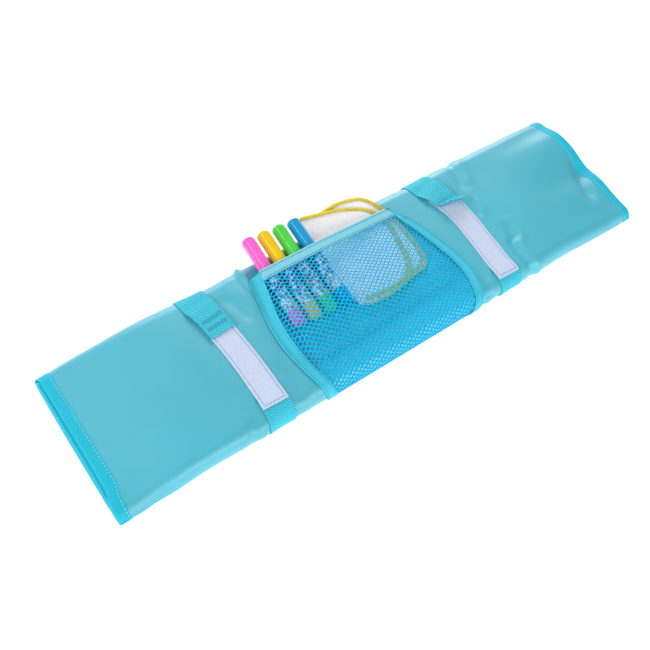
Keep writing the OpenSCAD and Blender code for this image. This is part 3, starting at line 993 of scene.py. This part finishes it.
def pocket_lift(s, x):
    """How far the net stands off the mat: over the pens, less over the cloth, and flat at its seams."""
    u = x - math.tan(PEN_TILT) * (MOUTH_Y - s - 42)
    lift = 15.5 - 8.5 * np.clip((u + 20) / 90, 0, 1) ** 0.9
    left = smooth((x - pocket_left(s) - 3) / (8 + 0.15 * s))
    right = smooth((pocket_right(s) - x - 2.5 - 5 * smooth(s / 30)) / (8 + 0.1 * s))
    along = 1 - smooth((s - 72) / 44)
    return lift * left * right * along


def in_pocket(s, x, h):
    """A warped place on the pocket, s down from its mouth. The mouth is pulled forward where it rises."""
    s, x, h = np.broadcast_arrays(np.asarray(s, float), x, h)
    lift = pocket_lift(s, x)
    pull = 0.3 * lift * np.clip(1 - s / 60, 0, 1.05)
    return warp(on_roll(x, MOUTH_Y - s - pull, NET_GAP + lift + h))


def net_cell():
    """Six corners and six side middles of one cell of the net, as (s, x) steps from its middle."""
    half = NET_STEP_S / 2
    tip = (NET_STEP_X ** 2 + half ** 2) / (2 * NET_STEP_X)
    shoulder = NET_STEP_X - tip
    corners = np.array([
        (0, tip), (half, shoulder), (half, -shoulder), (0, -tip), (-half, -shoulder), (-half, shoulder)])
    middles = (corners + np.roll(corners, -1, axis=0)) / 2
    return np.stack([corners, middles], axis=1).reshape(12, 2)


def make_net():
    """A knitted net: every hole is real, and the threads between them are rounded."""
    cell = net_cell()
    reach = np.linalg.norm(cell, axis=1)
    round_r = HOLE_SHARE * (0.45 * reach + 0.55 * reach.mean())
    hole = cell / reach[:, None] * round_r[:, None]
    centres = []
    for k in range(int(-130 / NET_STEP_X), int(120 / NET_STEP_X)):
        x = k * NET_STEP_X
        for i in range(int(POCKET_DEPTH / NET_STEP_S)):
            at = 4.0 + (i + 0.5 * (k % 2)) * NET_STEP_S
            if at < POCKET_DEPTH - 2 and pocket_left(at) + 5 < x < pocket_right(at) - 5:
                centres.append((at, x))
    centres = np.array(centres)
    outer = centres[:, None] + cell
    holes = centres[:, None] + hole
    keys = np.round(outer.reshape(-1, 2) * 50).astype(int)
    keys, first, shared = np.unique(keys, axis=0, return_index=True, return_inverse=True)
    shared = shared.reshape(-1, 12)
    count = len(keys)
    flat = outer.reshape(-1, 2)[first]
    holes = holes.reshape(-1, 2)
    points = np.concatenate([
        in_pocket(flat[:, 0], flat[:, 1], NET_T), in_pocket(flat[:, 0], flat[:, 1], 0.0),
        in_pocket(holes[:, 0], holes[:, 1], NET_T / 2)])
    rim = 2 * count + np.arange(len(centres) * 12).reshape(-1, 12)
    ahead = np.roll(shared, -1, axis=1)
    rim_ahead = np.roll(rim, -1, axis=1)
    top = np.stack([shared, ahead, rim_ahead, rim], axis=-1).reshape(-1, 4)
    under = np.stack([rim, rim_ahead, ahead + count, shared + count], axis=-1).reshape(-1, 4)
    pairs = np.stack([shared, ahead], axis=-1).reshape(-1, 2)
    used = {tuple(p) for p in pairs}
    border = [(b, a, a + count, b + count) for a, b in used if (b, a) not in used]
    faces = np.concatenate([top, under, np.array(border)])
    net = dress(add_mesh("net", points, faces), looks["net"])
    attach(net, "roll")
    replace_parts(net, "pocket_mesh")
    return net


def trim_profile():
    """A tape's cross-section, as (share of its width, height), from one bottom corner over to the other."""
    return [(0.0, 0.0), (0.0, 0.55), (0.03, 0.85), (0.10, 1.0), (0.22, 0.92), (0.35, 1.0), (0.5, 1.02),
            (0.65, 1.0), (0.78, 0.92), (0.90, 1.0), (0.97, 0.85), (1.0, 0.55), (1.0, 0.0)]


def pocket_tape(name, s, edge, width, node, look="trim", wrap=0.0):
    """A tape over the net, from (s, x) at one edge. width is its step (s, x) to the other edge.

    wrap is how far its two edges reach down below the net.
    """
    rings = []
    for share, height in trim_profile():
        h = NET_T + TRIM_T * height - wrap * (height == 0.0)
        rings.append(in_pocket(s + width[0] * share, edge + width[1] * share, h))
    rings = np.stack(rings, axis=1)
    u = np.broadcast_to(lengths_along(rings[:, 0])[:, None] / 10, rings.shape[:2])
    v = np.broadcast_to(np.array([p[0] for p in trim_profile()])[None, :] * TRIM_W / 10, rings.shape[:2])
    piece = tube(name, rings, np.stack([u, v], axis=-1))
    on_piece(piece, looks[look], "roll")
    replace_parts(piece, node)
    return piece


def pocket_seam(name, rows):
    """Rows of stitches on the pocket's tapes; each row holds arrays of s and x."""
    paths = []
    for s, x in rows:
        place = in_pocket(s, x, NET_T + TRIM_T + 0.08)
        paths.append((place, in_pocket(s, x, NET_T + TRIM_T + 1) - place))
    piece = stitches(name, paths, pitch=3.0, length=2.4, thick=0.72)
    on_piece(piece, looks["thread"], "roll")


def make_pocket():
    make_net()
    down = np.arange(0, POCKET_DEPTH + 0.1, 1.5)
    left, right = pocket_left(down), pocket_right(down)
    pocket_tape("pocket_tape_left", down, left, (0, TRIM_W), "pocket_trim_left")
    pocket_tape("pocket_tape_right", down, right, (0, -TRIM_W), "pocket_trim_right")
    x = np.arange(pocket_left(0) + 5, pocket_right(0) - 5, 1.5)
    # The mouth tape's look holds painted sheen: a whiter teal than the side tapes.
    pocket_tape("pocket_tape_mouth", np.full_like(x, -1.0), x, (MOUTH_TRIM_W, 0), "pocket_trim_mouth",
                look="mouth", wrap=1.6)
    x = np.arange(pocket_left(POCKET_DEPTH) + 5, pocket_right(POCKET_DEPTH) - 5, 2.0)
    pocket_tape("pocket_tape_foot", np.full_like(x, POCKET_DEPTH), x, (-TRIM_W, 0), "pocket_trim_bottom")
    inset = 1.8
    sides = (left + inset, left + TRIM_W - inset, right - inset, right - TRIM_W + inset)
    pocket_seam("pocket_side_stitches", [(down, x) for x in sides])
    x = np.arange(pocket_left(0) + 6, pocket_right(0) - 6, 1.5)
    rows = (inset, MOUTH_TRIM_W - 2.2)
    pocket_seam("pocket_mouth_stitches", [(np.full_like(x, at), x) for at in rows])


# ---- The cloth ----

CLOTH_T = 2.2
CLOTH_LOW = TOP + 0.35
CLOTH_PITCH = 2.7


def cloth_side(y):
    """Where the cloth's fold lies, along the blue pen that leans beside it."""
    return -20.2 + math.tan(PEN_TILT) * (y - 42)


# The folded cloth's outlines, as (x, y): its fold on the left, and the free edges of its two layers.
CLOTH_LEFT = [
    (-20, -22), (-24, -6), (cloth_side(24), 24), (cloth_side(52), 52), (cloth_side(80), 80), (-15.3, 92)]
CLOTH_LOWER = [
    (-17.5, -24.5), (0, -28), (38, -23), (49, -21), (61, -19), (66, -12), (70, 3), (72, 25), (71.5, 45),
    (69, 62), (65, 74), (58, 85), (48, 90), (31, 93), (8, 91.5), (-13, 93)]
CLOTH_UPPER = [
    (-18, -24), (-5, -26), (14, -27.5), (30, -25), (43, -17), (51, -4), (55, 12), (59, 27), (61, 43),
    (60, 57), (54, 67), (46, 74), (34, 81), (9, 89), (-4, 93), (-13.5, 95)]


def even_curve(points, count):
    """A smooth open curve through points, read at even steps."""
    points = np.array(points, float)
    steps = lengths_along(points)
    at = np.linspace(0, steps[-1], count)
    return np.stack([through(list(zip(steps, points[:, k])), at) for k in range(2)], axis=1)


def cloth_wave(x, y):
    """Soft waves of the towelling, stronger on the part outside the pocket."""
    free = 0.35 + 0.65 * smooth((y - 58) / 15)
    return free * (0.7 * np.sin(x / 13 + y / 21 + 1.0) + 0.45 * np.sin(x / 7.5 - y / 12))


def cloth_rows():
    """The folded sheet's middle surface: the lower layer from its edge, the fold, and the upper layer."""
    rows, columns, fold = 90, 46, 7
    left = even_curve(CLOTH_LEFT, rows)
    lower, upper = even_curve(CLOTH_LOWER, rows), even_curve(CLOTH_UPPER, rows)
    t = np.linspace(0, 1, columns)[None, :, None]
    low = lower[:, None] * (1 - t) + left[:, None] * t
    high = left[:, None] * (1 - t) + upper[:, None] * t
    z_low = CLOTH_LOW + CLOTH_T / 2
    z_high = z_low + CLOTH_PITCH
    low = np.concatenate([low, np.full((rows, columns, 1), z_low)], axis=2)
    high = np.concatenate([high, np.full((rows, columns, 1), z_high)], axis=2)
    a = np.linspace(0, math.pi, fold + 2)[None, 1:-1]
    bent = np.stack([
        left[:, :1] - CLOTH_PITCH / 2 * np.sin(a),
        left[:, 1:] + 0 * a,
        (z_low + z_high) / 2 - CLOTH_PITCH / 2 * np.cos(a) + 0 * left[:, :1],
    ], axis=-1)
    grid = np.concatenate([low, bent, high], axis=1)
    lift = 0.9 + cloth_wave(grid[..., 0], grid[..., 1]) * 0.8
    rise = smooth(np.linspace(0, 1, 10))
    edge = np.r_[rise, np.ones(columns * 2 + fold - 20), rise[::-1]]
    layer = smooth((grid[..., 2] - z_low) / CLOTH_PITCH)
    droop = (1 - edge)[None, :] * layer * 0.4
    grid[..., 2] += np.maximum(lift, 0) * np.minimum(edge[None, :] + 0.2, 1) - droop
    return grid


def surface_normals(grid):
    across = np.gradient(grid, axis=1)
    along = np.gradient(grid, axis=0)
    normal = np.cross(across, along)
    return normal / np.maximum(np.linalg.norm(normal, axis=-1, keepdims=True), 1e-9)


def make_cloth():
    grid = cloth_rows()
    normal = surface_normals(grid)
    rng = np.random.default_rng(5)
    rows, columns = grid.shape[:2]
    thin = np.ones((rows, columns))
    thin[0] = thin[-1] = thin[:, 0] = thin[:, -1] = 0.55
    half = CLOTH_T / 2 * thin
    tuft = rng.uniform(-0.14, 0.14, (2, rows, columns))
    a = grid + normal * (half + tuft[0])[..., None]
    b = grid - normal * (half + tuft[1])[..., None]
    uv = grid[..., :2] / 10
    cloth = dress(slab("cloth", a, b, uv), looks["towelling"])
    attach(cloth, "cloth")
    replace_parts(cloth, "cloth_towelling")
    overlock(grid)
    return cloth


def resting(points, layer):
    """The height of a cloth layer's middle surface at each point, from its highest vertex near by."""
    flat = layer.reshape(-1, 3)
    heights = []
    for part in np.array_split(points.reshape(-1, 3), 24):
        gaps = ((part[:, None, :2] - flat[None, :, :2]) ** 2).sum(axis=2)
        within = gaps < np.maximum(2.5 ** 2, gaps.min(axis=1, keepdims=True) + 0.01)
        heights.append(np.where(within, flat[:, 2], -1e9).max(axis=1))
    return np.concatenate(heights).reshape(points.shape[:-1])


# The overlock thread: its radius, the step from turn to turn, and how far its turns reach in by turns.
LOCK_R = 0.6
LOCK_STEP = 1.15
LOCK_REACH = (6.0, 5.2)


def overlock(grid):
    """Yellow thread wound over the cloth's two cut edges, one turn after another."""
    turn = np.linspace(-1, 1, 9)
    ring = np.arange(5) * 2 * math.pi / 5
    up = np.array([0.0, 0.0, 1.0])
    points, faces = [], []
    layer_columns = grid.shape[1] // 2 - 3
    for edge, layer in ((0, grid[:, :layer_columns]), (-1, grid[:, -layer_columns:])):
        path = grid[:, edge]
        inner = grid[:, 3 if edge == 0 else -4]
        centres, along, at = spaced(path, LOCK_STEP)
        inwards = read_at(inner - path, lengths_along(path), at)
        square = np.cross(up, along)
        square /= np.linalg.norm(square, axis=1, keepdims=True)
        square *= np.sign((square * inwards).sum(axis=1, keepdims=True))
        reach = np.where(np.arange(len(at)) % 2 == 0, *LOCK_REACH)[:, None]
        depth = reach * (1 - np.cos(turn * math.pi / 2)) - 0.4
        loops = centres[:, None] + square[:, None] * depth[..., None] + along[:, None] * turn[:, None] * 0.6
        height = loops[..., 2]
        base = np.where(depth > 0.4, np.maximum(resting(loops, layer), height), height)
        loops[..., 2] = base + np.sin(turn * math.pi / 2) * (CLOTH_T / 2 + 0.65)
        for loop, a in zip(loops, along):
            start = len(points)
            for p in loop:
                points.extend(p + (a * math.cos(k) + up * math.sin(k) * 0.8) * LOCK_R for k in ring)
            faces.extend(thread_faces(start, len(turn), len(ring)))
    piece = add_mesh("cloth_overlock", np.array(points), faces)
    on_piece(piece, looks["overlock"], "cloth")
    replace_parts(piece, "cloth_edging")


# ---- Put together ----

coil_rows = coil()
looks = {
    "skin": skin_look(),
    "lining": lining_look(),
    "tape": tape_look("edge_tape", TEAL_TAPE, 1.7),
    "trim": tape_look("pocket_tape", TEAL_TRIM, 1.5),
    "mouth": tape_look("mouth_tape_with_sheen", TEAL_MOUTH_WITH_SHEEN, 1.3),
    "webbing": webbing_look(),
    "loop": loop_look(),
    "hook": hook_look(),
    "thread": thread_look("teal_thread", TEAL_THREAD),
    "edge_thread": thread_look("pale_thread", seen(120, 224, 242)),
    "net": net_look(),
    "towelling": towelling_look(),
    "overlock": thread_look("yellow_thread", seen(242, 222, 0)),
    "barrel": barrel_look(),
    "wadding": felt_look("wadding", linear(235, 232, 220)),
}
PEN_COLOURS = {
    "pink": seen(255, 112, 212),
    "yellow": seen(248, 208, 0),
    "green": seen(92, 222, 84),
    "blue": seen(0, 162, 222),
}

mat = make_mat(coil_rows, looks)
for name, side in (("left", -1), ("right", 1)):
    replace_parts(side_tape(f"edge_tape_{name}", coil_rows, side, looks["tape"]), f"binding_{name}")
    mat_seam(f"edge_stitches_{name}", coil_rows, side * (HALF_X - TAPE_W + 1.6), looks["edge_thread"])
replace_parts(end_tape("edge_tape_outer_end", coil_rows, looks["tape"]), "binding_outer_end")
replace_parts(end_tape("edge_tape_inner_end", coil_rows[::-1], looks["tape"]), "binding_inner_end")

for side in ("left", "right"):
    strap_ties(side)
    strap_tapes(side)
tail_stitches()
make_pocket()
make_cloth()

for pen, colour in PEN_COLOURS.items():
    gloss = gloss_look(f"{pen}_plastic", colour)
    felt = felt_look(f"{pen}_felt", shade(colour, 0.8))
    for part, look in (("cap", gloss), ("plug", gloss), ("barrel", looks["barrel"]),
                       ("reservoir", looks["wadding"]), ("nib", felt)):
        node = frame["nodes"][f"pen_{pen}_{part}"]
        node.data.materials.clear()
        node.data.materials.append(look)

# ---- Camera, light and floor ----

# The camera's place in millimetres, its angles in degrees and its lens in millimetres.
CAMERA_AT = (-343.55, -320.30, 669.82)
CAMERA_DOWN = 57.35
CAMERA_TURN = -43.07
CAMERA_ROLL = 8.9
CAMERA_LENS = 45.3
WORLD_LIGHT = 0.40
PAPER_GLOW = 0.6

# Each light's name, place, the place it aims at, its size in metres and its power in watts.
LIGHTS = [
    ("front_light", (0.0, -1.55, 0.8), (-0.1, 0.0, 0.0), (1.6, 0.7), 21),
    ("back_light", (0.8, 1.5, 0.7), (0.1, 0.0, 0.0), (1.3, 0.6), 24),
    ("side_light", (-1.7, 0.3, 0.7), (0.0, 0.0, 0.0), (0.7, 1.3), 17),
    ("strip_light", (-0.6, 0.8, 1.3), (-0.05, 0.05, 0.0), (0.12, 0.9), 2.5),
]


def add_camera():
    data = bpy.data.cameras.new("camera")
    data.sensor_width = 36.0
    data.lens = CAMERA_LENS
    data.clip_start = 0.01
    camera = bpy.data.objects.new("camera", data)
    bpy.context.scene.collection.objects.link(camera)
    turn = Matrix.Rotation(math.radians(CAMERA_TURN), 4, "Z")
    pitch = Matrix.Rotation(math.radians(90 - CAMERA_DOWN), 4, "X")
    roll = Matrix.Rotation(math.radians(CAMERA_ROLL), 4, "Z")
    place = Vector((CAMERA_AT[0], CAMERA_AT[1] + ROLL_Y, CAMERA_AT[2])) * MM
    camera.matrix_world = Matrix.Translation(place) @ turn @ pitch @ roll
    bpy.context.scene.camera = camera


def area_light(name, at, aim, size, power):
    data = bpy.data.lights.new(name, "AREA")
    data.shape = "RECTANGLE"
    data.size, data.size_y = size
    data.energy = power
    light = bpy.data.objects.new(name, data)
    bpy.context.scene.collection.objects.link(light)
    light.location = at
    light.rotation_euler = (Vector(aim) - Vector(at)).to_track_quat("-Z", "Y").to_euler()


def add_studio():
    scene = bpy.context.scene
    scene.view_settings.view_transform = "Standard"
    world = bpy.data.worlds.new("studio")
    world.use_nodes = True
    background = world.node_tree.nodes["Background"]
    background.inputs["Color"].default_value = (1, 1, 1, 1)
    background.inputs["Strength"].default_value = WORLD_LIGHT
    scene.world = world
    for light in LIGHTS:
        area_light(*light)
    mesh = bpy.data.meshes.new("floor")
    mesh.from_pydata([(-3, -3, 0), (3, -3, 0), (3, 3, 0), (-3, 3, 0)], [], [(0, 1, 2, 3)])
    floor = bpy.data.objects.new("floor", mesh)
    scene.collection.objects.link(floor)
    paper = Look("paper", roughness=0.9, specular=0.1)
    shades = [(0.3, (0.90, 0.90, 0.90)), (0.7, (0.91, 0.91, 0.91))]
    paper.colour(paper.ramp(paper.noise(paper.coords(), 3, 2), shades))
    paper.shader.inputs["Emission Color"].default_value = (1, 1, 1, 1)
    paper.shader.inputs["Emission Strength"].default_value = PAPER_GLOW
    dress(floor, paper.material)


add_camera()
add_studio()
